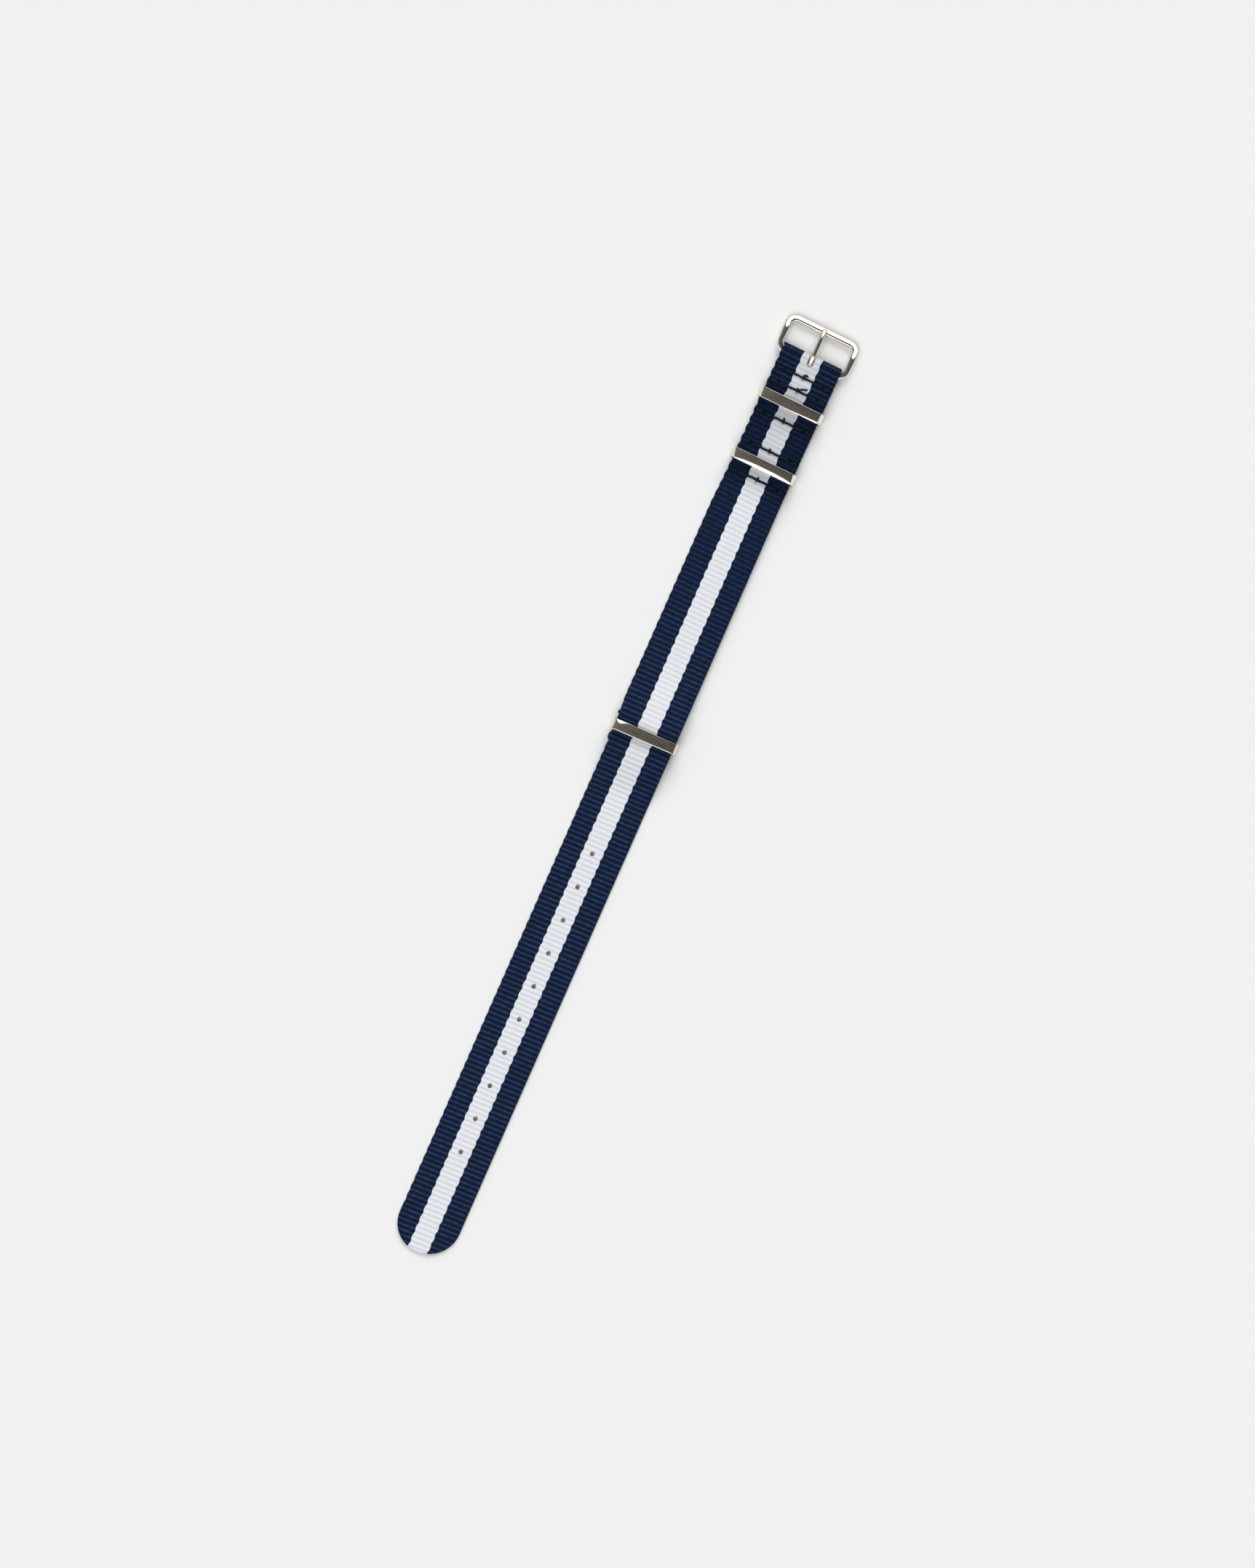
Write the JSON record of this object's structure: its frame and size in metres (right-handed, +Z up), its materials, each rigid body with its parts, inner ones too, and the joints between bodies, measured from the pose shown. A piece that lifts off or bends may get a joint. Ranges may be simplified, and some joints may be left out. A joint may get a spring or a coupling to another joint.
{
  "type": "watch strap",
  "caption": "Pull-through nylon watch strap with a pin buckle, keepers sewn between its layers, a short under strap and a punched tail.",
  "frame": {"origin": "on the table, under the middle of the strap's whole length and width", "axes": "+X across the strap, +Y along it towards the buckle, +Z up out of the side that faces away from the wrist"},
  "size_m": [0.022, 0.2792, 0.0068],
  "materials": {
    "main_webbing": "ribbed nylon webbing, navy with a white centre stripe",
    "short_webbing": "ribbed nylon webbing, navy with a white centre stripe",
    "buckle_steel": "polished stainless steel",
    "keeper_steel": "polished stainless steel",
    "thread": "dark twisted polyester sewing thread"
  },
  "bodies": {
    "seat": {"main_strap_seat": "main_webbing", "short_strap_seat": "short_webbing", "stitch_6_needle_thread": "thread", "stitch_6_bobbin_thread": "thread"},
    "head": {"main_strap_head": "main_webbing", "short_strap_head": "short_webbing", "stitch_1_needle_thread": "thread", "stitch_2_needle_thread": "thread", "stitch_3_needle_thread": "thread", "stitch_4_needle_thread": "thread", "stitch_5_needle_thread": "thread", "stitch_1_bobbin_thread": "thread", "stitch_2_bobbin_thread": "thread", "stitch_3_bobbin_thread": "thread", "stitch_4_bobbin_thread": "thread", "stitch_5_bobbin_thread": "thread"},
    "buckle": {"buckle_frame": "buckle_steel"},
    "tongue": {"buckle_tongue": "buckle_steel"},
    "first_keeper": {"first_keeper": "keeper_steel"},
    "second_keeper": {"second_keeper": "keeper_steel"},
    "end_keeper": {"end_keeper": "keeper_steel"},
    "tail_1": {"main_strap_tail_1": "main_webbing"},
    "tail_2": {"main_strap_tail_2": "main_webbing"},
    "tail_3": {"main_strap_tail_3": "main_webbing"}
  },
  "joints": [
    {"name": "head_bend", "type": "hinge", "parent": "seat", "child": "head", "pos_m": [0, 0.08469, 0.0012], "axis": [1, 0, 0], "range_deg": [-75, 75]},
    {"name": "buckle_pivot", "type": "hinge", "parent": "head", "child": "buckle", "pos_m": [0, 0.12869, 0.00205], "axis": [1, 0, 0], "range_deg": [-60, 35]},
    {"name": "tongue_pivot", "type": "hinge", "parent": "buckle", "child": "tongue", "pos_m": [0, 0.12869, 0.00205], "axis": [1, 0, 0], "range_deg": [0, 60]},
    {"name": "first_keeper_tilt", "type": "hinge", "parent": "head", "child": "first_keeper", "pos_m": [0, 0.11569, 0.00185], "axis": [1, 0, 0], "range_deg": [-10, 10]},
    {"name": "second_keeper_tilt", "type": "hinge", "parent": "head", "child": "second_keeper", "pos_m": [0, 0.09739, 0.00185], "axis": [1, 0, 0], "range_deg": [-10, 10]},
    {"name": "end_keeper_tilt", "type": "hinge", "parent": "seat", "child": "end_keeper", "pos_m": [0, 0.01609, 0.00185], "axis": [1, 0, 0], "range_deg": [-10, 10]},
    {"name": "tail_bend_1", "type": "hinge", "parent": "seat", "child": "tail_1", "pos_m": [0, -0.00441, 0.0006], "axis": [1, 0, 0], "range_deg": [-75, 75]},
    {"name": "tail_bend_2", "type": "hinge", "parent": "tail_1", "child": "tail_2", "pos_m": [0, -0.04441, 0.0006], "axis": [1, 0, 0], "range_deg": [-75, 75]},
    {"name": "tail_bend_3", "type": "hinge", "parent": "tail_2", "child": "tail_3", "pos_m": [0, -0.08441, 0.0006], "axis": [1, 0, 0], "range_deg": [-75, 75]}
  ]
}
